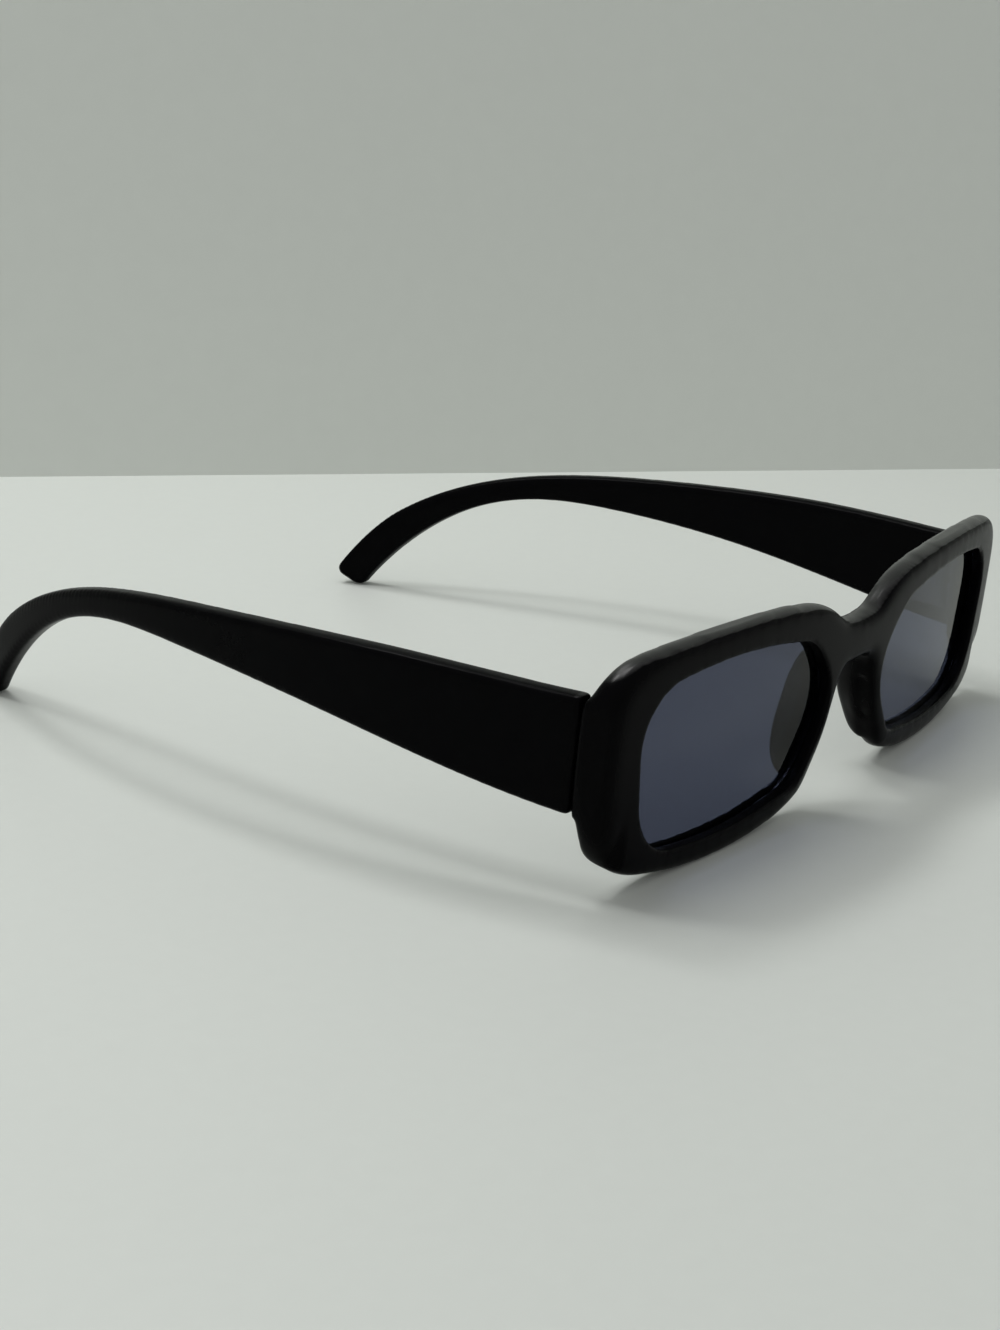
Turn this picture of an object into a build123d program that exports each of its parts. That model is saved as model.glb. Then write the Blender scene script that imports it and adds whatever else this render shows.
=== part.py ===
from build123d import *
from math import asin, cos, degrees, radians, sin, sqrt, tan
import os

# Narrow rectangle sunglasses, standing open on a table.
# X runs across the face, the wearer's left is +X, Y runs back along the temples, Z is up.
# The front is drawn flat, u across and v up, and w is the depth behind its middle.

# Lens openings, for the wearer's left eye. The right eye mirrors them.
opening_from_middle = 10.3
opening_nose_v = 19.2
opening_upper_nose_run = 9.7
opening_upper_nose_rise = 9.9
opening_lower_nose_run = 8.9
opening_lower_nose_drop = 14.0
opening_top_length = 44.85
opening_top_fall = 0.35
opening_bottom_shorter = 2.55
opening_bottom_fall = 0.4
opening_top_bow = 2.3
opening_nose_bow = 1.5
opening_bottom_bow = 1.85
opening_outer_bow = 0.15
opening_radius_top_nose = 9.0
opening_radius_top_outer = 9.2
opening_radius_bottom_outer = 10.3
opening_radius_bottom_nose = 10.0
opening_radius_nose = 7.0
opening_front_round = 0.35

# How far the rim's corners stand off the opening's corners
rim_top_outer_out = 5.45
rim_top_outer_up = 5.3
rim_top_nose_out = 0.1
rim_top_nose_up = 5.7
rim_bottom_outer_out = 8.3
rim_bottom_outer_down = 1.15
rim_bottom_nose_in = 4.95
rim_bottom_nose_down = 2.65
rim_top_bow = 1.05
rim_outer_bow = 0.75
rim_bottom_bow = 3.6
rim_radius_top_outer = 7.4
rim_radius_top_nose = 9.6
rim_radius_bottom_outer = 10.7
rim_radius_bottom_nose = 18.9

# Bridge between the rims
bridge_top_half = 1.1
bridge_height = 6.85
bridge_arch_half = 5.9
bridge_arch_top = 22.2
bridge_top_radius = 4.1
bridge_arch_radius = 4.0

# Front as a curved slab
front_curve_radius = 470.0
rim_depth = 4.4
rim_edge_round = 0.9
front_tilt = 3.3

# End pieces, the thick corners that carry the hinges, seen from the side
end_back = 11.5
end_flat_down = 9.0
end_flat_up = 8.0
end_low_run = 10.5
end_low_drop = 7.1
end_low_round = 12.0
end_high_run = 8.5
end_high_drop = 3.4
end_high_round = 6.0
end_inner_wall = 0.8
end_outer_round = 0.8

# Lenses
lens_setback = 2.0
lens_thickness = 1.6
lens_in_groove = 0.6
lens_edge_bevel = 0.45
lens_clearance = 0.05

# Nose pads, moulded on the back of the rims
pad_reach = 8.8
pad_middle_v = 13.75
pad_curve_radius = 11.3
pad_splay = 27.0
pad_lean = 25.0
pad_root_depth = 3.0
pad_root_width = 2.9
pad_tip_width = 2.2
pad_edge_round = 0.8

# Temples
temple_thickness = 3.8
temple_bow_radius = 260.0
temple_bow_at = 35.3
temple_length = 134.0
temple_height = 30.1
temple_edge_round = 1.0
joint_clearance = 0.1
joint_edge_round = 0.35
tip_radius = 1.6

# Points of the temple's side outline: along its length, and up as a share of its height.
# They start a little ahead of the joint, which cuts the temple to length.
temple_top_shares = ((-0.02, 0.976), (0.21, 1.0), (0.5, 0.965), (0.68, 0.89), (0.81, 0.74), (0.93, 0.43), (0.995, 0.09))
temple_bottom_shares = (
    (0.955, -0.017), (0.87, 0.4), (0.78, 0.65), (0.68, 0.768), (0.57, 0.78), (0.35, 0.67), (-0.02, 0.395)
)

# Barrel hinges, their pins upright
hinge_middle_v = 19.5
pin_from_temple = 1.6
pin_behind_end = 1.6
knuckle_radius = 1.3
knuckle_height = 1.5
knuckle_gap = 0.06
knuckle_count = 5
hinge_screw_radius = 0.7
hinge_screw_clearance = 0.03
hinge_screw_tail = 0.2
hinge_screw_head_radius = 1.15
hinge_screw_head_height = 0.5
hinge_screw_slot = 0.3
hinge_screw_slot_depth = 0.25
leaf_thickness = 0.9
leaf_height = 9.0
leaf_web = 1.2
leaf_corner = 0.8
leaf_clearance = 0.04
front_leaf_width = 2.2
front_leaf_tongue = 0.9
front_leaf_tongue_depth = 3.0
front_leaf_tongue_height = 6.0
temple_leaf_length = 8.6
temple_leaf_start = 0.8

# Countersunk screws of the temple leaves
leaf_screw_from_end = 1.6
leaf_screw_spacing = 4.4
leaf_screw_radius = 0.5
leaf_screw_length = 2.2
leaf_screw_head_radius = 0.95
leaf_screw_head_height = 0.45
leaf_screw_slot = 0.22
leaf_screw_slot_depth = 0.2

# Long enough to pass through anything that is cut, and fine enough to tell two radii apart
overrun = 60.0
fine = 0.001

# Where the lens openings end, measured from the middle of the face
opening_nose = (opening_from_middle, opening_nose_v)
opening_top_nose = (opening_nose[0] + opening_upper_nose_run, opening_nose[1] + opening_upper_nose_rise)
opening_bottom_nose = (opening_nose[0] + opening_lower_nose_run, opening_nose[1] - opening_lower_nose_drop)
opening_top_outer = (opening_top_nose[0] + opening_top_length, opening_top_nose[1] - opening_top_fall)
opening_bottom_outer = (
    opening_bottom_nose[0] + opening_top_length - opening_bottom_shorter,
    opening_bottom_nose[1] - opening_bottom_fall,
)
opening_outer_u = (opening_top_outer[0] + opening_bottom_outer[0]) / 2
# Corners of the rim outside the opening, and the side of the whole front
rim_top_nose = (opening_top_nose[0] + rim_top_nose_out, opening_top_nose[1] + rim_top_nose_up)
rim_top_outer = (opening_top_outer[0] + rim_top_outer_out, opening_top_outer[1] + rim_top_outer_up)
rim_bottom_nose = (opening_bottom_nose[0] - rim_bottom_nose_in, opening_bottom_nose[1] - rim_bottom_nose_down)
rim_bottom_outer = (opening_bottom_outer[0] + rim_bottom_outer_out, opening_bottom_outer[1] - rim_bottom_outer_down)
front_half_width = (rim_top_outer[0] + rim_bottom_outer[0]) / 2 + rim_outer_bow
bridge_top = bridge_arch_top + bridge_height
end_inner_u = opening_outer_u + end_inner_wall
# Where each temple meets its end piece, and the middle of the circle that it bows along
tilt = radians(front_tilt)
joint_y = end_back * cos(tilt) - hinge_middle_v * sin(tilt)
hinge_z = hinge_middle_v * cos(tilt) + end_back * sin(tilt)
bow_x = front_half_width - sqrt(temple_bow_radius**2 - temple_bow_at**2)
bow_y = joint_y + temple_bow_at
temple_inner_radius = temple_bow_radius - temple_thickness
temple_inner_x = bow_x + sqrt(temple_inner_radius**2 - temple_bow_at**2)
# The hinge's pin, and the middle of the temple leaf on the temple's inner face
pin_x = temple_inner_x - pin_from_temple
pin_y = joint_y + pin_behind_end
temple_leaf_y = joint_y + joint_clearance + temple_leaf_start + temple_leaf_length / 2
temple_leaf_turn = asin((bow_y - temple_leaf_y) / temple_inner_radius)
temple_leaf_x = bow_x + temple_inner_radius * cos(temple_leaf_turn)
leaf_screw_aft_y = temple_leaf_length / 2 - leaf_screw_from_end
leaf_screw_places = (leaf_screw_aft_y - leaf_screw_spacing, leaf_screw_aft_y)


def tilted(shape):
    """A shape drawn in the front's own plane, leaned the way the front leans."""
    return Rot(front_tilt, 0, 0) * shape


def corner(face, point):
    """The corner of a flat outline that lies nearest to a point."""
    return face.vertices().sort_by_distance(Vector(*point))[0]


def mirrored(shape):
    """The same shape on the other side of the face."""
    return mirror(shape, about=Plane.YZ)


def on_side(shape, side):
    """A shape drawn for the left, kept there for side 1 and mirrored to the right for side -1."""
    return shape if side > 0 else mirrored(shape)


def standing(face, start, length):
    """A flat outline stood up in the front's own plane and thickened backwards from a depth."""
    return Pos(0, start, 0) * extrude(Plane.XZ * face, amount=-length)


def front_curve(depth_from, depth_to):
    """The curved slab between two depths behind the front face."""
    outer = Cylinder(front_curve_radius - depth_from, 2 * overrun)
    inner = Cylinder(front_curve_radius - depth_to, 2 * overrun + overrun)
    return Pos(0, front_curve_radius, 0) * (outer - inner)


def opening_outline():
    """The lens opening: a leaning quadrilateral with bowed top and bottom and rounded corners."""
    edges = [
        SagittaArc(opening_top_nose, opening_nose, -opening_nose_bow),
        SagittaArc(opening_nose, opening_bottom_nose, -opening_nose_bow),
        SagittaArc(opening_bottom_nose, opening_bottom_outer, -opening_bottom_bow),
        SagittaArc(opening_bottom_outer, opening_top_outer, -opening_outer_bow),
        SagittaArc(opening_top_outer, opening_top_nose, -opening_top_bow),
    ]
    face = make_face(edges)
    face = fillet(corner(face, opening_top_nose), opening_radius_top_nose)
    face = fillet(corner(face, opening_nose), opening_radius_nose)
    face = fillet(corner(face, opening_bottom_nose), opening_radius_bottom_nose)
    face = fillet(corner(face, opening_bottom_outer), opening_radius_bottom_outer)
    return fillet(corner(face, opening_top_outer), opening_radius_top_outer)


def front_outline():
    """The whole front's outline, drawn for one side and mirrored."""
    arch_corner = (bridge_arch_half, bridge_arch_top)
    bridge_corner = (bridge_top_half, bridge_top)
    edges = [
        Line((0, bridge_top), (0, bridge_arch_top)),
        Line((0, bridge_arch_top), arch_corner),
        Line(arch_corner, rim_bottom_nose),
        SagittaArc(rim_bottom_nose, rim_bottom_outer, -rim_bottom_bow),
        SagittaArc(rim_bottom_outer, rim_top_outer, -rim_outer_bow),
        SagittaArc(rim_top_outer, rim_top_nose, -rim_top_bow),
        Line(rim_top_nose, bridge_corner),
        Line(bridge_corner, (0, bridge_top)),
    ]
    face = make_face(edges)
    face = fillet(corner(face, rim_bottom_nose), rim_radius_bottom_nose)
    face = fillet(corner(face, arch_corner), bridge_arch_radius)
    face = fillet(corner(face, rim_bottom_outer), rim_radius_bottom_outer)
    face = fillet(corner(face, rim_top_outer), rim_radius_top_outer)
    face = fillet(corner(face, rim_top_nose), rim_radius_top_nose)
    face = fillet(corner(face, bridge_corner), bridge_top_radius)
    return face + mirrored(face)


def edges_on(solid, radius):
    """Edges of the round faces of one radius, such as a blank's curved front or back."""
    faces = [face for face in solid.faces() if face.geom_type == GeomType.CYLINDER]
    faces = [face for face in faces if face.radius and abs(face.radius - radius) < fine]
    return [edge for face in faces for edge in face.edges()]


def end_block(outline):
    """The thick corner behind the rim: seen from the side, a block with long slopes above and below."""
    low = hinge_middle_v - end_flat_down
    high = hinge_middle_v + end_flat_up
    profile = Polyline(
        (0, low - end_low_run),
        (end_back - end_low_drop, low - end_low_run),
        (end_back, low),
        (end_back, high),
        (end_back - end_high_drop, high + end_high_run),
        (0, high + end_high_run),
        close=True,
    )
    side = make_face(profile)
    side = fillet(corner(side, (end_back, low)), end_low_round)
    side = fillet(corner(side, (end_back, high)), end_high_round)
    block = Pos(end_inner_u, 0, 0) * extrude(Plane.YZ * side, amount=overrun)
    block = block & standing(outline, 0, overrun)
    block = block - front_curve(-overrun, rim_edge_round)
    backs = [face for face in block.faces() if face.normal_at().Y > fine]
    seams = [edge for face in backs for edge in face.edges()]
    rims = [edge for edge in seams if sum(edge == other for other in seams) == 1]
    outer = [edge for edge in rims if edge.center().X > end_inner_u + fine]
    return fillet(outer, end_outer_round)


def nose_pad(outline):
    """A pad behind the nose side of a rim: a leaning, splayed wedge with a round back."""
    lean = Vector(sin(radians(pad_lean)), 0, -cos(radians(pad_lean)))
    slope = (bridge_arch_half - rim_bottom_nose[0]) / (bridge_arch_top - rim_bottom_nose[1])
    nose_u = rim_bottom_nose[0] + (pad_middle_v - rim_bottom_nose[1]) * slope
    root_u = nose_u - (rim_depth - pad_root_depth) * tan(radians(pad_splay))
    tip_w = pad_reach + pad_edge_round
    tip_u = nose_u + (tip_w - rim_depth) * tan(radians(pad_splay))
    wedge = Polyline(
        (root_u, pad_root_depth),
        (tip_u, tip_w),
        (tip_u + pad_tip_width, tip_w),
        (root_u + pad_root_width, pad_root_depth),
        close=True,
    )
    pad = extrude(Pos(0, 0, pad_middle_v) * make_face(wedge), amount=overrun, dir=lean, both=True)
    barrel = Rot(0, 90, 0) * Cylinder(pad_curve_radius, overrun)
    pad = pad & (Pos(0, pad_reach - pad_curve_radius, pad_middle_v) * barrel)
    pad = fillet(edges_on(pad, pad_curve_radius), pad_edge_round)
    return (pad & standing(outline, 0, overrun)) - standing(opening_outline(), 0, rim_depth)


def lens_outline(spare):
    """The lens opening grown into the groove. All its sides are arcs, and they are drawn again as arcs."""
    sides = offset(opening_outline(), amount=lens_in_groove + spare).edges()
    return make_face([ThreePointArc(side @ 0, side @ 0.5, side @ 1) for side in sides])


def lens_blank(spare):
    """A lens with a bevelled edge, in the front's plane. Grown by a clearance, it cuts its own groove."""
    outline = lens_outline(spare)
    front_radius = front_curve_radius - lens_setback + spare
    back_radius = front_curve_radius - lens_setback - lens_thickness - spare
    slab = front_curve(front_curve_radius - front_radius, front_curve_radius - back_radius)
    blank = standing(outline, 0, overrun) & slab
    return chamfer(edges_on(blank, front_radius) + edges_on(blank, back_radius), lens_edge_bevel)


def front_leaf_plate(spare, outward):
    """The front leaf's plate and tongue, let into the back of the end piece."""
    middle_u = (end_inner_u + temple_inner_x) / 2
    plate = Box(
        front_leaf_width + 2 * spare,
        leaf_thickness + spare + outward,
        leaf_height + 2 * spare,
        align=(Align.CENTER, Align.MIN, Align.CENTER),
    )
    plate = Pos(0, end_back - leaf_thickness - spare, 0) * fillet(plate.edges().filter_by(Axis.Y), leaf_corner)
    tongue = Box(
        front_leaf_tongue + 2 * spare,
        leaf_thickness / 2 + front_leaf_tongue_depth + spare,
        front_leaf_tongue_height + 2 * spare,
        align=(Align.CENTER, Align.MAX, Align.CENTER),
    )
    tongue = Pos(0, end_back - leaf_thickness / 2, 0) * tongue
    return tilted(Pos(middle_u, 0, hinge_middle_v) * (plate + tongue))


def temple_leaf_plate(spare, outward):
    """The temple leaf's plate, let into the inner face of the temple."""
    plate = Box(
        leaf_thickness + spare + outward,
        temple_leaf_length + 2 * spare,
        leaf_height + 2 * spare,
        align=(Align.MAX, Align.CENTER, Align.CENTER),
    )
    plate = Pos(leaf_thickness + spare, 0, 0) * fillet(plate.edges().filter_by(Axis.X), leaf_corner)
    return on_temple_leaf(plate)


def on_temple_leaf(shape):
    """Places a shape on the temple leaf, its X pointing into the temple and its Y along the leaf."""
    return Pos(temple_leaf_x, temple_leaf_y, hinge_z) * Rot(0, 0, -degrees(temple_leaf_turn)) * shape


def knuckle_middle(place):
    """The height of a knuckle's middle, counted from the lowest."""
    return hinge_z + (place - (knuckle_count - 1) / 2) * (knuckle_height + knuckle_gap)


def pin_bore():
    """The bore that the hinge screw turns in, through all knuckles."""
    return Pos(pin_x, pin_y, hinge_z) * Cylinder(hinge_screw_radius + hinge_screw_clearance, overrun)


def hinge_leaf(plate, web, places):
    """A leaf with its knuckles: a web joins each knuckle to the plate, and one bore runs through them."""
    leaf = plate
    for place in places:
        knuckle = Pos(pin_x, pin_y, knuckle_middle(place)) * Cylinder(knuckle_radius, knuckle_height)
        leaf = leaf + knuckle + Pos(pin_x, pin_y, knuckle_middle(place)) * web
    return leaf - pin_bore()


def front_leaf():
    """The hinge leaf of the front, with the outer and middle knuckles."""
    reach = pin_behind_end + leaf_thickness / 2
    web = Box(leaf_web, reach, knuckle_height, align=(Align.CENTER, Align.MAX, Align.CENTER))
    return hinge_leaf(front_leaf_plate(0, 0), web, range(0, knuckle_count, 2))


def temple_leaf():
    """The hinge leaf of the temple, with the knuckles between and two countersunk holes."""
    reach = pin_from_temple + leaf_thickness / 2
    web = Box(reach, leaf_web, knuckle_height, align=(Align.MIN, Align.CENTER, Align.CENTER))
    leaf = hinge_leaf(temple_leaf_plate(0, 0), web, range(1, knuckle_count, 2))
    for along in leaf_screw_places:
        leaf = leaf - on_temple_leaf(Pos(0, along, 0) * leaf_screw_blank(leaf_clearance))
    return leaf


def leaf_screw_blank(spare):
    """A countersunk screw without its slot, pointing into the temple. Grown, it cuts its hole."""
    head = Cone(
        leaf_screw_head_radius + spare,
        leaf_screw_radius + spare,
        leaf_screw_head_height,
        align=(Align.CENTER, Align.CENTER, Align.MIN),
    )
    shank = Cylinder(
        leaf_screw_radius + spare,
        leaf_screw_length + spare,
        align=(Align.CENTER, Align.CENTER, Align.MIN),
    )
    return Rot(0, 90, 0) * (head + shank)


def leaf_screw(along):
    """A screw of the temple leaf, slotted, with its head flush in the plate."""
    slot = Box(2 * leaf_screw_slot_depth, leaf_screw_slot, 2 * leaf_screw_head_radius)
    return on_temple_leaf(Pos(0, along, 0) * (leaf_screw_blank(0) - slot))


def hinge_screw():
    """The hinge's pin: a slotted screw with a low round head on the top knuckle and a short tail."""
    top = knuckle_middle(knuckle_count - 1) + knuckle_height / 2
    bottom = knuckle_middle(0) - knuckle_height / 2 - hinge_screw_tail
    on_axis = (Align.CENTER, Align.CENTER, Align.MIN)
    shank = Pos(0, 0, bottom) * Cylinder(hinge_screw_radius, top - bottom, align=on_axis)
    head = Cylinder(hinge_screw_head_radius, hinge_screw_head_height, align=on_axis)
    head = chamfer(head.edges().sort_by(Axis.Z)[-1], hinge_screw_head_height / 2)
    head = Pos(0, 0, top) * head
    slot = Box(2 * hinge_screw_head_radius, hinge_screw_slot, 2 * hinge_screw_slot_depth)
    slot = Pos(0, 0, top + hinge_screw_head_height) * slot
    return Pos(pin_x, pin_y, 0) * (shank + head - slot)


def frame_front():
    """The rims, bridge, end pieces and nose pads in one moulding, with openings, grooves and pockets."""
    outline = front_outline()
    front = standing(outline, -overrun / 2, overrun) & front_curve(0, rim_depth)
    front = fillet(edges_on(front, front_curve_radius), rim_edge_round)
    front = fillet(edges_on(front, front_curve_radius - rim_depth), rim_edge_round)
    block = end_block(outline)
    opening = standing(opening_outline(), -overrun / 2, overrun)
    front = front + (block + mirrored(block)) - (opening + mirrored(opening))
    face = [face for face in front.faces() if face.radius and abs(face.radius - front_curve_radius) < fine]
    front = fillet([edge for wire in face[0].inner_wires() for edge in wire.edges()], opening_front_round)
    pad = nose_pad(outline)
    groove = lens_blank(lens_clearance)
    front = tilted(front + (pad + mirrored(pad)) - (groove + mirrored(groove)))
    pocket = front_leaf_plate(leaf_clearance, overrun)
    return front - (pocket + mirrored(pocket))


def temple_outline(floor):
    """The temple from the side: deep at the hinge, bent down behind the ear and cut at a slant."""
    top = [(joint_y + along * temple_length, floor + up * temple_height) for along, up in temple_top_shares]
    bottom = [(joint_y + along * temple_length, floor + up * temple_height) for along, up in temple_bottom_shares]
    face = make_face([Spline(*top), Line(top[-1], bottom[0]), Spline(*bottom), Line(bottom[-1], top[0])])
    return fillet([corner(face, top[-1]), corner(face, bottom[0])], tip_radius)


def temple(floor, side):
    """A temple, bowed outwards along a circle, with its long edges rounded and the leaf's pocket cut."""
    ring = Cylinder(temple_bow_radius, 4 * overrun) - Cylinder(temple_inner_radius, 5 * overrun)
    arm = extrude(Plane.YZ * temple_outline(floor), amount=side * 2 * overrun)
    arm = arm & (Pos(side * bow_x, bow_y, 0) * ring)
    sides = arm.faces().sort_by(SortBy.AREA)[-2:]
    arm = fillet([edge for side in sides for edge in side.edges()], temple_edge_round)
    ahead = Box(4 * overrun, overrun, 4 * overrun, align=(Align.CENTER, Align.MAX, Align.CENTER))
    arm = arm - tilted(Pos(0, end_back + joint_clearance, 0) * ahead)
    arm = fillet(arm.faces().sort_by(Axis.Y)[0].edges(), joint_edge_round)
    arm = arm - on_side(temple_leaf_plate(leaf_clearance, overrun), side)
    for along in leaf_screw_places:
        hole = on_temple_leaf(Pos(0, along, 0) * leaf_screw_blank(leaf_clearance))
        arm = arm - on_side(hole, side)
    return arm


front = frame_front()
floor = front.bounding_box().min.Z
left_side = {
    "lens": tilted(lens_blank(0)),
    "front_leaf": front_leaf(),
    "temple_leaf": temple_leaf(),
    "hinge_screw": hinge_screw(),
    "leaf_screw_fore": leaf_screw(leaf_screw_places[0]),
    "leaf_screw_aft": leaf_screw(leaf_screw_places[1]),
}
nodes = {"frame_front": front, "temple_left": temple(floor, 1), "temple_right": temple(floor, -1)}
for name, solid in left_side.items():
    nodes[name + "_left"] = solid
    nodes[name + "_right"] = mirrored(solid)

# The origin lies on the table, in the middle of the open sunglasses
boxes = [solid.bounding_box() for solid in nodes.values()]
middle_y = (min(box.min.Y for box in boxes) + max(box.max.Y for box in boxes)) / 2
to_origin = Pos(0, -middle_y, -min(box.min.Z for box in boxes))
os.makedirs("parts", exist_ok=True)
for name, solid in nodes.items():
    export_step(to_origin * solid, f"parts/{name}.step")
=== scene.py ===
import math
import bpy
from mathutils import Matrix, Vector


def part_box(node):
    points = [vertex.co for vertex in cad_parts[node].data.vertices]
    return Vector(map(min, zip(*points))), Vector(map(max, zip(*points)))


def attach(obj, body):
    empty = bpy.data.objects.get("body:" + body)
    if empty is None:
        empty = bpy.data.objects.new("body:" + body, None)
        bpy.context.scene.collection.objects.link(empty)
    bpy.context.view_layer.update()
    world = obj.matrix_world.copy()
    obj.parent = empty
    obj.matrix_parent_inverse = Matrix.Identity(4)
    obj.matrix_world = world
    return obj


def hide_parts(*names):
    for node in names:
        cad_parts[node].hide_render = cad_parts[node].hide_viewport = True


bl_info = {
    "name": "Narrow Rectangle Sunglasses",
    "version": (1, 0, 0),
    "blender": (4, 5, 0),
    "location": "3D View > Sidebar > Sunglasses",
    "description": "Finishes the moulded frame, tinted lenses and barrel hinges, and sets up a plain stage",
    "category": "Add Mesh",
}

import bmesh
import bpy
from bpy.props import FloatProperty, FloatVectorProperty, IntProperty, PointerProperty
from mathutils import Matrix, Vector
from mathutils.bvhtree import BVHTree

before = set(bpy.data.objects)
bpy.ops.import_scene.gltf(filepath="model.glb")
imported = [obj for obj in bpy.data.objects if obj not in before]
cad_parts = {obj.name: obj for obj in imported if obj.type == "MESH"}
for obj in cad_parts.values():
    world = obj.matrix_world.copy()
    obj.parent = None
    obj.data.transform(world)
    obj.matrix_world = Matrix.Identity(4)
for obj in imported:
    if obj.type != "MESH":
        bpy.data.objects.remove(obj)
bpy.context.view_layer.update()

MM = 0.001
SIDES = ("left", "right")

# The front's own plane, where x runs across, y backwards and z up, leans back and stands on the table
FRONT_PLACE = Matrix.Translation((0, -70.699 * MM, 0.372 * MM)) @ Matrix.Rotation(math.radians(3.3), 4, "X")

# The camera's place in metres, its axes, and its focal length in pixels of the 1000 by 1330 frame
CAMERA_PLACE = (-0.32166, -0.20585, 0.11889)
CAMERA_RIGHT = (0.5455, -0.8366, 0.0503)
CAMERA_UP = (0.2094, 0.1941, 0.9584)
CAMERA_BACK = (-0.8115, -0.5123, 0.2811)
FOCAL_PIXELS = 2200
FRAME_WIDTH = 1000
FRAME_HEIGHT = 1330

# Where the rims' outline is eased, in the front's own plane: place, width, and shifts outwards and up
OUTLINE_EASES = (
    (14.0 * MM, 33.5 * MM, 4.5 * MM, 0.0, 0.4 * MM),
    (21.0 * MM, 35.5 * MM, 3.0 * MM, 0.0, -0.25 * MM),
    (6.0 * MM, 30.5 * MM, 3.5 * MM, 0.0, -0.85 * MM),
    (9.5 * MM, 12.5 * MM, 5.0 * MM, -0.6 * MM, -0.2 * MM),
    (16.0 * MM, 3.5 * MM, 4.5 * MM, -0.4 * MM, -0.9 * MM),
)

# How far round the hinge leaves and the temples the front's moulding stays as it is
FRONT_LEAF_SEAT = 1.4 * MM
TEMPLE_END_SEAT = 0.8 * MM
# The same round the leaf and its screws in a temple
TEMPLE_LEAF_SEAT = 1.2 * MM
# A point is on a rim's top edge when it faces up this much and is above this height
TOP_FACING = 0.55
TOP_HEIGHT = 20 * MM
# Passes of every step of the ends' rounding
END_STEP_PASSES = 3
# Where the fullness of the ends' low corners comes in, across and backwards
END_FULL_ACROSS = (65 * MM, 67 * MM)
END_FULL_DEPTH = (2 * MM, 7 * MM)
# How much of a temple's swell is left at the hinge, and where it grows to the whole
HINGE_SHARE = 0.55
HINGE_FADE = (-58 * MM, -25 * MM)
# The middle and reach of a temple's swell below, and the length of the tip that keeps its shape
SWELL_MIDDLE = 8 * MM
SWELL_REACH = 26 * MM
TIP_LENGTH = 12 * MM
# Where the rims' top edges get a painted highlight, stronger reflections than the rest: how far they face up, how
# far fore and how high
PAINTED_SHEEN_FACING = (0.68, 0.86)
PAINTED_SHEEN_FORE = (-59.5 * MM, -62 * MM)
PAINTED_SHEEN_HEIGHT = (18 * MM, 22 * MM)
# The share of the broad lamp's power that each small lamp has, and their width
SMALL_LAMP_SHARE = 0.115
SMALL_LAMP_WIDTH = 0.12
WALL_LENGTH = 3.0


def linear(code):
    """Turns an sRGB hex colour into the linear values that shaders and lamps take."""
    shares = [int(code[place : place + 2], 16) / 255 for place in (1, 3, 5)]
    return [share / 12.92 if share <= 0.04045 else ((share + 0.055) / 1.055) ** 2.4 for share in shares]


def add_node(tree, kind, settings=None, **sockets):
    """Adds a node, sets its own settings, and sets or links each named socket."""
    made = tree.nodes.new(kind)
    for name, value in (settings or {}).items():
        setattr(made, name, value)
    for name, value in sockets.items():
        socket = made.inputs[int(name[1:])] if name[:1] == "_" else made.inputs[name.replace("_", " ")]
        if isinstance(value, bpy.types.NodeSocket):
            tree.links.new(value, socket)
        else:
            socket.default_value = value
    return made


def blend(tree, share, first, second):
    """Blends two colours by a texture's share and gives the socket of the result."""
    mixed = add_node(tree, "ShaderNodeMix", {"data_type": "RGBA"}, _0=share, _6=(*first, 1.0), _7=(*second, 1.0))
    return mixed.outputs[2]


def new_material(name):
    """A named material with an empty node tree, ready for its own nodes."""
    material = bpy.data.materials.new(name)
    material.use_nodes = True
    material.node_tree.nodes.clear()
    return material, material.node_tree


def dress(piece, material):
    """Gives a piece one material in its only slot."""
    piece.data.materials.clear()
    piece.data.materials.append(material)


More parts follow.
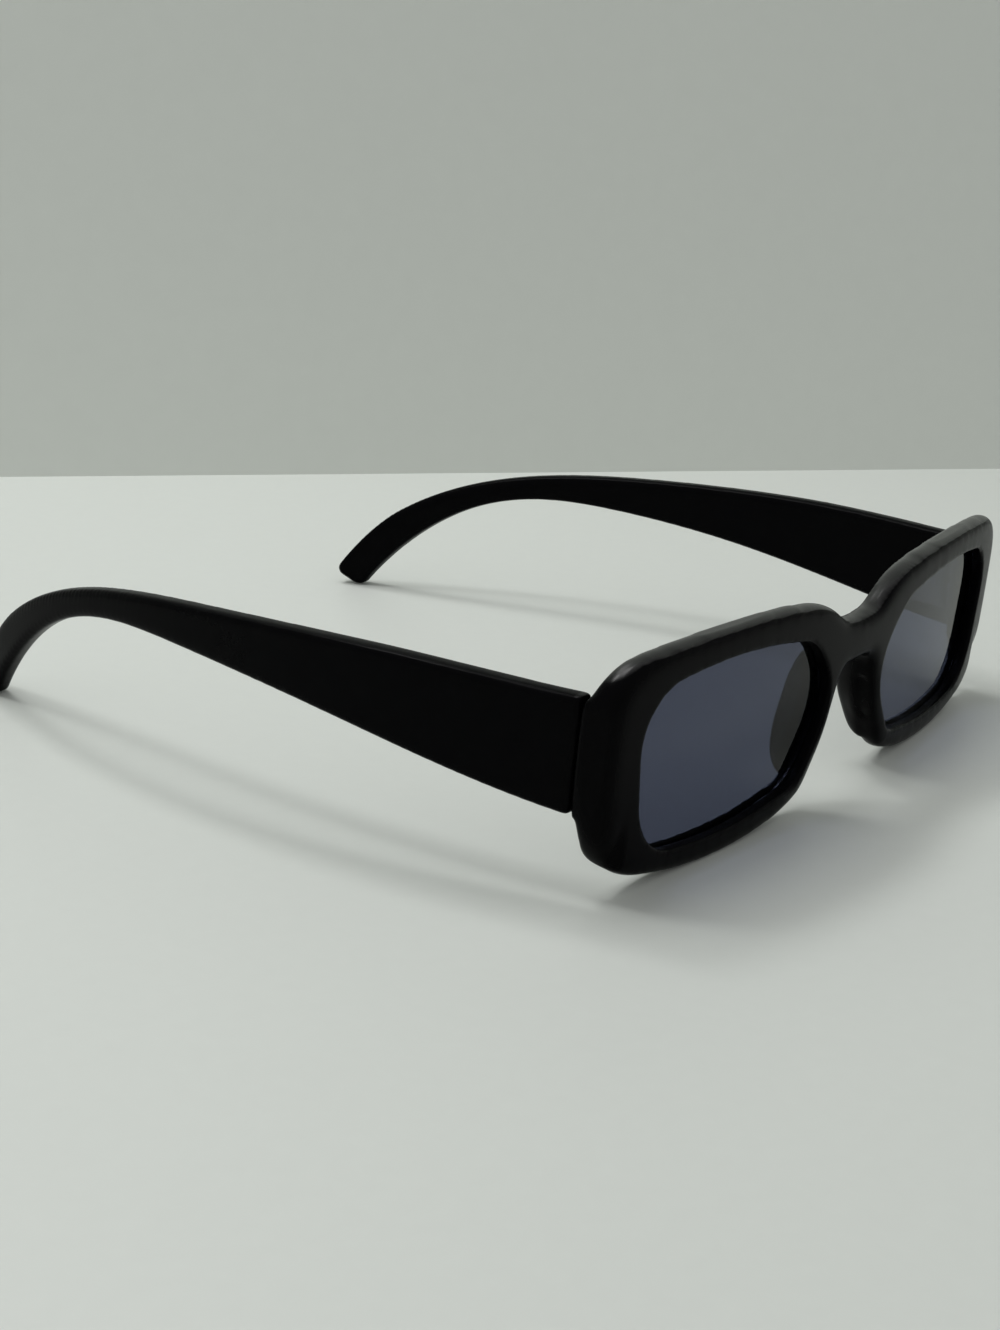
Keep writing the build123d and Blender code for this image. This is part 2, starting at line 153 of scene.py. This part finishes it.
def polished_moulded_polycarbonate(name, plastic):
    """Injection-moulded polycarbonate, dyed black and tumbled to a gloss.

    The eye sees almost black with soft-edged reflections, a faint waviness from the mould
    and a light haze where hands have rubbed it.
    """
    material, tree = new_material(name)
    coordinates = add_node(tree, "ShaderNodeTexCoord")
    place = coordinates.outputs["Object"]
    # Mould shrinkage leaves waves about 9 mm long, and handling leaves smears about 4 mm wide
    waves = add_node(tree, "ShaderNodeTexNoise", Vector=place, Scale=1 / (9 * MM), Detail=1.0)
    smears = add_node(tree, "ShaderNodeTexNoise", Vector=place, Scale=1 / (4 * MM), Detail=3.0, Roughness=0.6)
    # A fine grain, drawn at 0.25 mm so that it can show
    grit = add_node(tree, "ShaderNodeTexNoise", Vector=place, Scale=1 / (0.25 * MM), Detail=2.0)
    tint = blend(tree, smears.outputs["Fac"], plastic.dark, plastic.worn)
    rough = add_node(
        tree, "ShaderNodeMapRange", Value=smears.outputs["Fac"], From_Min=0.3, From_Max=0.7,
        To_Min=plastic.roughness * 0.85, To_Max=plastic.roughness * 1.2,
    )
    # Reflections are held dim to suit this stage, but on the rims' top edges they are raised as a painted highlight,
    # to match their lighter tone
    facing = add_node(tree, "ShaderNodeSeparateXYZ", Vector=coordinates.outputs["Normal"])
    point = add_node(tree, "ShaderNodeSeparateXYZ", Vector=place)
    upward = add_node(
        tree, "ShaderNodeMapRange", Value=facing.outputs["Z"], From_Min=PAINTED_SHEEN_FACING[0], From_Max=PAINTED_SHEEN_FACING[1]
    )
    fore = add_node(
        tree, "ShaderNodeMapRange", Value=point.outputs["Y"], From_Min=PAINTED_SHEEN_FORE[0], From_Max=PAINTED_SHEEN_FORE[1],
        To_Max=upward.outputs["Result"],
    )
    above = add_node(
        tree, "ShaderNodeMapRange", Value=point.outputs["Z"], From_Min=PAINTED_SHEEN_HEIGHT[0], From_Max=PAINTED_SHEEN_HEIGHT[1],
        To_Max=fore.outputs["Result"],
    )
    gloss = add_node(
        tree, "ShaderNodeMapRange", Value=above.outputs["Result"], To_Min=plastic.shine, To_Max=plastic.painted_edge_sheen
    )
    broad = add_node(tree, "ShaderNodeBump", Strength=0.35, Distance=0.02 * MM, Height=waves.outputs["Fac"])
    fine = add_node(
        tree, "ShaderNodeBump", Strength=0.25, Distance=0.002 * MM,
        Height=grit.outputs["Fac"], Normal=broad.outputs["Normal"],
    )
    shader = add_node(
        tree, "ShaderNodeBsdfPrincipled", Base_Color=tint, Roughness=rough.outputs["Result"],
        IOR=plastic.ior, Specular_IOR_Level=gloss.outputs["Result"], Normal=fine.outputs["Normal"],
    )
    add_node(tree, "ShaderNodeOutputMaterial", Surface=shader.outputs["BSDF"])
    return material


def tinted_polycarbonate(lens):
    """Moulded and dyed polycarbonate with a hard clear coat.

    The eye sees through it to a dim, slightly blue picture, under clean reflections.
    """
    material, tree = new_material("tinted_polycarbonate")
    place = add_node(tree, "ShaderNodeTexCoord").outputs["Object"]
    # Dust and wipe marks, a few millimetres long, only dull the reflection
    wipes = add_node(tree, "ShaderNodeTexNoise", Vector=place, Scale=1 / (6 * MM), Detail=4.0, Roughness=0.65)
    rough = add_node(
        tree, "ShaderNodeMapRange", Value=wipes.outputs["Fac"], From_Min=0.35, From_Max=0.75,
        To_Min=lens.roughness, To_Max=lens.roughness * 2.5,
    )
    glass = add_node(
        tree, "ShaderNodeBsdfPrincipled", Base_Color=(*lens.tint, 1.0), Roughness=rough.outputs["Result"],
        IOR=lens.ior, Transmission_Weight=1.0,
    )
    open_to_lamps = add_node(tree, "ShaderNodeBsdfTransparent", Color=(*lens.shade, 1.0))
    ray = add_node(tree, "ShaderNodeLightPath")
    choice = add_node(
        tree, "ShaderNodeMixShader", Fac=ray.outputs["Is Shadow Ray"],
        _1=glass.outputs["BSDF"], _2=open_to_lamps.outputs["BSDF"],
    )
    add_node(tree, "ShaderNodeOutputMaterial", Surface=choice.outputs["Shader"])
    return material


def plated_brass(name, colour, roughness, streak):
    """Brass stampings and turned screws with nickel plate.

    The eye sees a warm grey metal with fine parallel tool marks that stretch its highlights.
    """
    material, tree = new_material(name)
    place = add_node(tree, "ShaderNodeTexCoord").outputs["Object"]
    along = add_node(tree, "ShaderNodeMapping", Vector=place, Scale=(1.0, 1.0, streak))
    # Tool marks, 0.9 mm long and as much finer upwards as the streak says
    marks = add_node(tree, "ShaderNodeTexNoise", Vector=along.outputs["Vector"], Scale=1 / (0.9 * MM), Detail=4.0)
    rough = add_node(
        tree, "ShaderNodeMapRange", Value=marks.outputs["Fac"], From_Min=0.3, From_Max=0.7,
        To_Min=roughness * 0.8, To_Max=roughness * 1.3,
    )
    bump = add_node(tree, "ShaderNodeBump", Strength=0.3, Distance=0.01 * MM, Height=marks.outputs["Fac"])
    tarnish = add_node(tree, "ShaderNodeTexNoise", Vector=place, Scale=1 / (2.5 * MM), Detail=2.0)
    tone = blend(tree, tarnish.outputs["Fac"], colour, [share * 0.8 for share in colour])
    shader = add_node(
        tree, "ShaderNodeBsdfPrincipled", Base_Color=tone, Metallic=1.0,
        Roughness=rough.outputs["Result"], Normal=bump.outputs["Normal"],
    )
    add_node(tree, "ShaderNodeOutputMaterial", Surface=shader.outputs["BSDF"])
    return material


def merged_copy(name, place):
    """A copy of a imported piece's mesh in the plane that a place gives, with its loose triangles joined."""
    shell = bmesh.new()
    shell.from_mesh(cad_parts[name].data)
    bmesh.ops.remove_doubles(shell, verts=shell.verts, dist=0.0001 * MM)
    bmesh.ops.transform(shell, matrix=place.inverted(), verts=shell.verts)
    return shell


def seat_trees(seats, place):
    """Search trees of what seats in a moulding, each with how far round it the moulding stays as it is."""
    trees = []
    for name, reach in seats:
        seated = merged_copy(name, place)
        trees.append((BVHTree.FromBMesh(seated), reach))
        seated.free()
    return trees


def free_points(shell, trees):
    """The points of a moulding that no seated piece is near."""
    return [
        vert for vert in shell.verts
        if all(tree.find_nearest(vert.co, reach)[0] is None for tree, reach in trees)
    ]


def ramp(value, start, end):
    """Climbs smoothly from 0 at the start to 1 at the end."""
    share = min(max((value - start) / (end - start), 0.0), 1.0)
    return share * share * (3 - 2 * share)


def keep_in_box(shell, name):
    """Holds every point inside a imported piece's own box."""
    low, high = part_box(name)
    for vert in shell.verts:
        vert.co = [min(max(value, least), most) for value, least, most in zip(vert.co, low, high)]


def finish_skin(shell, piece):
    """Puts the worked shell back on its piece, smooth all over."""
    for face in shell.faces:
        face.smooth = True
    shell.to_mesh(piece.data)
    shell.free()


def add_pad_fin(shell, side, sizes):
    """Adds the long fin that carries a nose pad: a boxy ellipsoid along the nose wall, splayed backwards."""
    down = math.radians(sizes.pad_lean)
    along = Vector((math.sin(down), 0, -math.cos(down)))
    across = Vector((math.cos(down), 0, math.sin(down)))
    splay = math.radians(sizes.pad_splay)
    back = across * math.sin(splay) + Vector((0, math.cos(splay), 0))
    root = Vector((sizes.pad_across, sizes.pad_root, sizes.pad_height))
    deep = (sizes.pad_reach - sizes.pad_root) / math.cos(splay)
    made = bmesh.ops.create_uvsphere(shell, u_segments=48, v_segments=32, radius=1.0)["verts"]
    for vert in made:
        x, y, z = [math.copysign(abs(value) ** sizes.pad_boxy, value) for value in vert.co]
        place = root + across * x * sizes.pad_half_thickness + back * y * deep + along * z * sizes.pad_half_length
        place.y = max(place.y, sizes.pad_root - 0.8 * MM)
        vert.co = Vector((side * place.x, place.y, place.z))
    if side < 0:
        bmesh.ops.reverse_faces(shell, faces=list({face for vert in made for face in vert.link_faces}))


def remeshed(name, shell, voxel):
    """The shell as one skin of even small faces."""
    mesh = bpy.data.meshes.new(name)
    shell.to_mesh(mesh)
    shell.free()
    piece = bpy.data.objects.new(name, mesh)
    bpy.context.scene.collection.objects.link(piece)
    skin = piece.modifiers.new("skin", "REMESH")
    skin.mode = "VOXEL"
    skin.voxel_size = voxel
    piece.data = bpy.data.meshes.new_from_object(piece.evaluated_get(bpy.context.evaluated_depsgraph_get()))
    piece.modifiers.clear()
    bpy.data.meshes.remove(mesh)
    piece.data.name = name
    return piece


def ease(shell, verts, passes):
    """Eases a set of points between their neighbours, which rounds what is sharp among them."""
    for _ in range(passes):
        bmesh.ops.smooth_vert(
            shell, verts=verts, factor=0.5, use_axis_x=True, use_axis_y=True, use_axis_z=True,
        )


class SUNGLASSES_PG_front(bpy.types.PropertyGroup):
    """The softened edges of the moulded front, and its nose pads."""

    skin: FloatProperty(name="Skin", description="Size of the skin's faces", default=0.35 * MM, unit="LENGTH")
    seat: FloatProperty(
        name="Seat", description="How far round the lenses and hinges the moulding stays crisp",
        default=2.1 * MM, unit="LENGTH",
    )
    passes: IntProperty(name="Rounding", description="Passes that round the rims", default=38, min=0)
    top_passes: IntProperty(name="Top passes", description="More passes along the rims' tops", default=30, min=0)
    growth: FloatProperty(
        name="Growth", description="How far the outline grows before it is rounded", default=0.4 * MM, unit="LENGTH"
    )
    temple_passes: IntProperty(name="Temple rounding", description="Passes that round the temples", default=5, min=0)
    temple_fuller_above: FloatProperty(
        name="Temple above", description="How far the temples swell upwards", default=1.0 * MM, unit="LENGTH"
    )
    temple_fuller_below: FloatProperty(
        name="Temple below", description="How far their middles swell downwards", default=0.6 * MM, unit="LENGTH"
    )
    end_steps: IntProperty(name="End rounding", description="More rounding towards the ends", default=14, min=0)
    end_start: FloatProperty(
        name="End start", description="Where the outer ends begin, from the middle", default=61 * MM, unit="LENGTH"
    )
    end_low: FloatProperty(
        name="End low", description="Height of the ends' low back corners", default=5.0 * MM, unit="LENGTH"
    )
    end_low_width: FloatProperty(
        name="End low width", description="Reach of their fullness, up and down", default=4.0 * MM, unit="LENGTH"
    )
    end_fuller: FloatProperty(
        name="End fuller", description="How far they swell backwards", default=1.7 * MM, unit="LENGTH"
    )
    pad_lean: FloatProperty(name="Pad lean", description="Lean of the nose wall, in degrees", default=23.0)
    pad_splay: FloatProperty(name="Pad splay", description="Splay of the pads, in degrees", default=27.0)
    pad_across: FloatProperty(
        name="Pad across", description="From the middle to the fin's root", default=10.8 * MM, unit="LENGTH"
    )
    pad_height: FloatProperty(
        name="Pad height", description="Height of the fin's middle", default=15.2 * MM, unit="LENGTH"
    )
    pad_root: FloatProperty(
        name="Pad root", description="Depth at which the fin leaves the rim", default=4.4 * MM, unit="LENGTH"
    )
    pad_reach: FloatProperty(
        name="Pad reach", description="From the front face to the fin's back", default=8.6 * MM, unit="LENGTH"
    )
    pad_half_length: FloatProperty(
        name="Pad half length", description="Along the nose wall", default=11.1 * MM, unit="LENGTH"
    )
    pad_half_thickness: FloatProperty(
        name="Pad half thickness", description="Across the nose wall", default=1.8 * MM, unit="LENGTH"
    )
    pad_boxy: FloatProperty(
        name="Pad boxiness", description="1 is an ellipsoid, and less is fuller", default=0.72, min=0.1, max=1.0
    )


class SUNGLASSES_PG_plastic(bpy.types.PropertyGroup):
    """The frame's black plastic."""

    dark: FloatVectorProperty(
        name="Plastic", description="Colour of the clean plastic", subtype="COLOR", default=linear("#030304")
    )
    worn: FloatVectorProperty(
        name="Rubbed plastic", description="Colour where hands have dulled it", subtype="COLOR",
        default=linear("#070708"),
    )
    roughness: FloatProperty(
        name="Roughness", description="How soft the reflections are", default=0.22, min=0.0, max=1.0
    )
    ior: FloatProperty(name="IOR", description="Of polycarbonate", default=1.58, min=1.0, max=2.0)
    shine: FloatProperty(
        name="Shine", description="Strength of the reflections, where 0.5 is the full strength",
        default=0.022, min=0.0, max=1.0,
    )
    # The painted highlight: how strongly the rims' top edges reflect, to show them lighter
    painted_edge_sheen: FloatProperty(
        name="Edge shine", description="Strength of the reflections on the rims' top edges",
        default=0.45, min=0.0, max=1.0,
    )


class SUNGLASSES_PG_lens(bpy.types.PropertyGroup):
    """The tinted lenses."""

    tint: FloatVectorProperty(
        name="Tint", description="What a lens lets through", subtype="COLOR", default=linear("#484D61")
    )
    shade: FloatVectorProperty(
        name="Shade", description="What each face of a lens lets through to the table", subtype="COLOR",
        default=linear("#8A8D98"),
    )
    roughness: FloatProperty(
        name="Roughness", description="How soft the reflections are", default=0.02, min=0.0, max=1.0
    )
    ior: FloatProperty(
        name="IOR", description="Held under polycarbonate's 1.58, which keeps the reflections dim",
        default=1.2, min=1.0, max=2.0,
    )


class SUNGLASSES_PG_stage(bpy.types.PropertyGroup):
    """The table, the wall behind it and the lamps."""

    table_colour: FloatVectorProperty(
        name="Table", description="Colour of the table top", subtype="COLOR", default=linear("#CDD1CC")
    )
    wall_colour: FloatVectorProperty(
        name="Wall", description="Colour of the wall behind", subtype="COLOR", default=linear("#D7DBD5")
    )
    table_width: FloatProperty(
        name="Table width", description="Side of the square floor", default=4.0, unit="LENGTH"
    )
    wall_height: FloatProperty(
        name="Wall height", description="Height of the wall", default=1.2, unit="LENGTH"
    )
    lamp_power: FloatProperty(
        name="Lamp power", description="Power of the broad lamp behind", default=4.6, unit="POWER"
    )
    sky_strength: FloatProperty(
        name="Room light", description="Strength of the light from the room", default=0.5, min=0.0
    )


class SUNGLASSES_OT_frame(bpy.types.Operator):
    """Softens the moulded front's edges, and finishes it and the temples"""

    bl_idname = "sunglasses.frame"
    bl_label = "Moulded Frame"

    def execute(self, context):
        plastic = context.scene.sunglasses_plastic
        material = polished_moulded_polycarbonate("polished_moulded_polycarbonate", plastic)
        for name in ("frame_front", "temple_left", "temple_right"):
            dress(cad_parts[name], material)
        sizes = context.scene.sunglasses_front
        front = self.soft_front(sizes)
        dress(front, material)
        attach(front, "front")
        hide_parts("frame_front")
        for side in SIDES:
            temple = self.soft_temple(side, sizes)
            dress(temple, material)
            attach(temple, f"temple_{side}")
            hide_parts(f"temple_{side}")
        return {"FINISHED"}

    def soft_front(self, sizes):
        """The front with fuller pads and rounder edges, but crisp where lenses, leaves and temples seat."""
        shell = merged_copy("frame_front", FRONT_PLACE)
        for side in (-1, 1):
            add_pad_fin(shell, side, sizes)
        front = remeshed("moulded_front", shell, sizes.skin)
        shell = bmesh.new()
        shell.from_mesh(front.data)
        seats = []
        for side in SIDES:
            seats += [(f"lens_{side}", sizes.seat), (f"front_leaf_{side}", FRONT_LEAF_SEAT)]
            seats += [(f"temple_{side}", TEMPLE_END_SEAT)]
        ease(shell, shell.verts, 2)
        free = free_points(shell, seat_trees(seats, FRONT_PLACE))
        # Rounding shrinks the outline, so it grows first
        shell.normal_update()
        for vert in free:
            vert.co += Vector((vert.normal.x, 0, vert.normal.z)) * sizes.growth
        ease(shell, free, sizes.passes)
        # The rims' top edges are flatter and run smoothly along
        shell.normal_update()
        tops = [vert for vert in free if vert.normal.z > TOP_FACING and vert.co.z > TOP_HEIGHT]
        ease(shell, tops, sizes.top_passes)
        for step in range(sizes.end_steps):
            start = sizes.end_start + step * sizes.skin
            ease(shell, [vert for vert in free if abs(vert.co.x) > start], END_STEP_PASSES)
        for vert in shell.verts:
            outward = math.copysign(1.0, vert.co.x)
            for across, up, width, shift_out, shift_up in OUTLINE_EASES:
                far = math.hypot(abs(vert.co.x) - across, vert.co.z - up) / width
                vert.co.x += outward * shift_out * math.exp(-far * far)
                vert.co.z += shift_up * math.exp(-far * far)
            # The ends are fuller at their low back corners
            low = (vert.co.z - sizes.end_low) / sizes.end_low_width
            out = ramp(abs(vert.co.x), *END_FULL_ACROSS) * ramp(vert.co.y, *END_FULL_DEPTH)
            vert.co.y += sizes.end_fuller * out * math.exp(-low * low)
        bmesh.ops.transform(shell, matrix=FRONT_PLACE, verts=shell.verts)
        keep_in_box(shell, "frame_front")
        finish_skin(shell, front)
        return front

    def soft_temple(self, side, sizes):
        """A temple with softer edges that is fuller above, and a little fuller below in its middle."""
        name = f"temple_{side}"
        temple = remeshed(f"moulded_{name}", merged_copy(name, Matrix()), sizes.skin)
        shell = bmesh.new()
        shell.from_mesh(temple.data)
        ease(shell, shell.verts, 1)
        seated = ("temple_leaf", "leaf_screw_fore", "leaf_screw_aft")
        seats = [(f"{part}_{side}", TEMPLE_LEAF_SEAT) for part in seated]
        free = free_points(shell, seat_trees(seats, Matrix()))
        ease(shell, free, sizes.temple_passes)
        # The lowest and highest point of each millimetre of its length
        spans = {}
        for vert in shell.verts:
            step = round(vert.co.y / MM)
            low, high = spans.get(step, (1, -1))
            spans[step] = (min(low, vert.co.z), max(high, vert.co.z))
        end = max(vert.co.y for vert in shell.verts)
        for vert in free:
            low, high = spans[round(vert.co.y / MM)]
            share = (vert.co.z - low) / max(high - low, MM)
            whole = HINGE_SHARE + (1 - HINGE_SHARE) * ramp(vert.co.y, *HINGE_FADE)
            upper = ramp(share, 0.5, 1.0) * sizes.temple_fuller_above * whole
            middle = math.exp(-(((vert.co.y - SWELL_MIDDLE) / SWELL_REACH) ** 2))
            lower = ramp(share, 0.5, 0.0) * sizes.temple_fuller_below * middle
            vert.co.z += (upper - lower) * (1 - ramp(vert.co.y, end - TIP_LENGTH, end))
        finish_skin(shell, temple)
        return temple


class SUNGLASSES_OT_lenses(bpy.types.Operator):
    """Finishes the two tinted lenses"""

    bl_idname = "sunglasses.lenses"
    bl_label = "Tinted Lenses"

    def execute(self, context):
        material = tinted_polycarbonate(context.scene.sunglasses_lens)
        for side in SIDES:
            dress(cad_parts[f"lens_{side}"], material)
        return {"FINISHED"}


class SUNGLASSES_OT_hinges(bpy.types.Operator):
    """Finishes the hinge leaves and their screws"""

    bl_idname = "sunglasses.hinges"
    bl_label = "Barrel Hinges"

    def execute(self, context):
        leaf = plated_brass("nickel_plated_brass", linear("#B9B4AA"), 0.32, 8.0)
        screw = plated_brass("turned_steel", linear("#C4C3C0"), 0.22, 0.5)
        for side in SIDES:
            for name in ("front_leaf", "temple_leaf"):
                dress(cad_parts[f"{name}_{side}"], leaf)
            for name in ("hinge_screw", "leaf_screw_fore", "leaf_screw_aft"):
                dress(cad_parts[f"{name}_{side}"], screw)
        return {"FINISHED"}


def flat_sheet(name, width, depth, place):
    """A flat rectangle, with its place in its mesh."""
    mesh = bpy.data.meshes.new(name)
    sheet = bmesh.new()
    bmesh.ops.create_grid(sheet, x_segments=1, y_segments=1, size=0.5)
    bmesh.ops.scale(sheet, vec=(width, depth, 1.0), verts=sheet.verts)
    bmesh.ops.transform(sheet, matrix=place, verts=sheet.verts)
    sheet.to_mesh(mesh)
    sheet.free()
    piece = bpy.data.objects.new(name, mesh)
    bpy.context.scene.collection.objects.link(piece)
    return piece


def matt_surface(name, colour, roughness, grain):
    """A painted or laminated surface with a faint grain."""
    material, tree = new_material(name)
    place = add_node(tree, "ShaderNodeTexCoord").outputs["Object"]
    speckle = add_node(tree, "ShaderNodeTexNoise", Vector=place, Scale=1 / grain, Detail=2.0)
    darker, lighter = [share * 0.985 for share in colour], [share * 1.015 for share in colour]
    tone = blend(tree, speckle.outputs["Fac"], darker, lighter)
    shader = add_node(tree, "ShaderNodeBsdfPrincipled", Base_Color=tone, Roughness=roughness)
    return material, tree, shader


class SUNGLASSES_OT_stage(bpy.types.Operator):
    """Sets up the table, the wall, the lamps and the camera"""

    bl_idname = "sunglasses.stage"
    bl_label = "Plain Stage"

    def execute(self, context):
        settings = context.scene.sunglasses_stage
        scene = context.scene
        table = flat_sheet("table", settings.table_width, settings.table_width, Matrix())
        material, tree, shader = matt_surface("laminate_table", settings.table_colour, 0.45, 3 * MM)
        add_node(tree, "ShaderNodeOutputMaterial", Surface=shader.outputs["BSDF"])
        dress(table, material)

        # The wall's foot runs along two points on the table and the wall faces the glasses
        start, end = Vector((0.0767, 0.2002, 0.0)), Vector((0.2944, 0.0134, 0.0))
        along = (end - start).normalized()
        towards = Vector((0, 0, 1)).cross(along)
        middle = (start + end) / 2 + Vector((0, 0, settings.wall_height / 2))
        turn = Matrix((along, Vector((0, 0, 1)), towards)).transposed().to_4x4()
        wall = flat_sheet("wall", WALL_LENGTH, settings.wall_height, Matrix.Translation(middle) @ turn)
        material, tree, shader = matt_surface("painted_wall", settings.wall_colour, 0.8, 5 * MM)
        unseen = add_node(tree, "ShaderNodeBsdfTransparent")
        back = add_node(tree, "ShaderNodeNewGeometry")
        one_sided = add_node(
            tree, "ShaderNodeMixShader", Fac=back.outputs["Backfacing"],
            _1=shader.outputs["BSDF"], _2=unseen.outputs["BSDF"],
        )
        add_node(tree, "ShaderNodeOutputMaterial", Surface=one_sided.outputs["Shader"])
        dress(wall, material)
        wall.visible_shadow = False

        # Two small lamps cast the temple's two shadow bands, and a broad one softens the rest
        small_power = settings.lamp_power * SMALL_LAMP_SHARE
        self.lamp("lamp_left", (-0.185, 0.3, 0.575), SMALL_LAMP_WIDTH, small_power)
        self.lamp("lamp_right", (0.108, 0.3, 0.575), SMALL_LAMP_WIDTH, small_power)
        self.lamp("lamp_behind", (0.0, 0.35, 1.0), 0.7, settings.lamp_power)

        world = bpy.data.worlds.new("plain_room")
        world.use_nodes = True
        world.node_tree.nodes.clear()
        sky = add_node(
            world.node_tree, "ShaderNodeBackground", Color=(*linear("#FFFFFF"), 1.0), Strength=settings.sky_strength
        )
        add_node(world.node_tree, "ShaderNodeOutputWorld", Surface=sky.outputs["Background"])
        scene.world = world

        lens = bpy.data.cameras.new("camera")
        lens.sensor_width = 36.0
        lens.lens = FOCAL_PIXELS / max(FRAME_WIDTH, FRAME_HEIGHT) * lens.sensor_width
        lens.clip_start = 0.01
        lens.clip_end = 10.0
        camera = bpy.data.objects.new("camera", lens)
        scene.collection.objects.link(camera)
        turn = Matrix((CAMERA_RIGHT, CAMERA_UP, CAMERA_BACK)).transposed().to_4x4()
        camera.matrix_world = Matrix.Translation(CAMERA_PLACE) @ turn
        scene.camera = camera
        scene.view_settings.view_transform = "Standard"
        return {"FINISHED"}

    def lamp(self, name, place, width, power):
        """A square lamp that points at the middle of the table."""
        data = bpy.data.lights.new(name, "AREA")
        data.shape = "SQUARE"
        data.size = width
        data.energy = power
        lamp = bpy.data.objects.new(name, data)
        turn = (-Vector(place)).to_track_quat("-Z", "Y").to_matrix().to_4x4()
        lamp.matrix_world = Matrix.Translation(place) @ turn
        bpy.context.scene.collection.objects.link(lamp)


class SUNGLASSES_PT_panel(bpy.types.Panel):
    """Lists the steps that finish the sunglasses."""

    bl_label = "Sunglasses"
    bl_space_type = "VIEW_3D"
    bl_region_type = "UI"
    bl_category = "Sunglasses"

    def draw(self, context):
        scene = context.scene
        for settings, steps in (
            (scene.sunglasses_front, ()),
            (scene.sunglasses_plastic, ("sunglasses.frame",)),
            (scene.sunglasses_lens, ("sunglasses.lenses", "sunglasses.hinges")),
            (scene.sunglasses_stage, ("sunglasses.stage",)),
        ):
            box = self.layout.box()
            for name in settings.__annotations__:
                box.prop(settings, name)
            for step in steps:
                box.operator(step)


CLASSES = (
    SUNGLASSES_PG_front,
    SUNGLASSES_PG_plastic,
    SUNGLASSES_PG_lens,
    SUNGLASSES_PG_stage,
    SUNGLASSES_OT_frame,
    SUNGLASSES_OT_lenses,
    SUNGLASSES_OT_hinges,
    SUNGLASSES_OT_stage,
    SUNGLASSES_PT_panel,
)


def register():
    """Registers the classes and hangs their settings on the scene."""
    for made in CLASSES:
        bpy.utils.register_class(made)
    bpy.types.Scene.sunglasses_front = PointerProperty(type=SUNGLASSES_PG_front)
    bpy.types.Scene.sunglasses_plastic = PointerProperty(type=SUNGLASSES_PG_plastic)
    bpy.types.Scene.sunglasses_lens = PointerProperty(type=SUNGLASSES_PG_lens)
    bpy.types.Scene.sunglasses_stage = PointerProperty(type=SUNGLASSES_PG_stage)


def unregister():
    """Takes the settings and classes away again."""
    del bpy.types.Scene.sunglasses_stage
    del bpy.types.Scene.sunglasses_lens
    del bpy.types.Scene.sunglasses_plastic
    del bpy.types.Scene.sunglasses_front
    for made in reversed(CLASSES):
        bpy.utils.unregister_class(made)


def main():
    """Registers the classes and runs each step in order."""
    register()
    bpy.ops.sunglasses.stage()
    bpy.ops.sunglasses.frame()
    bpy.ops.sunglasses.lenses()
    bpy.ops.sunglasses.hinges()


if __name__ == "__main__":
    main()
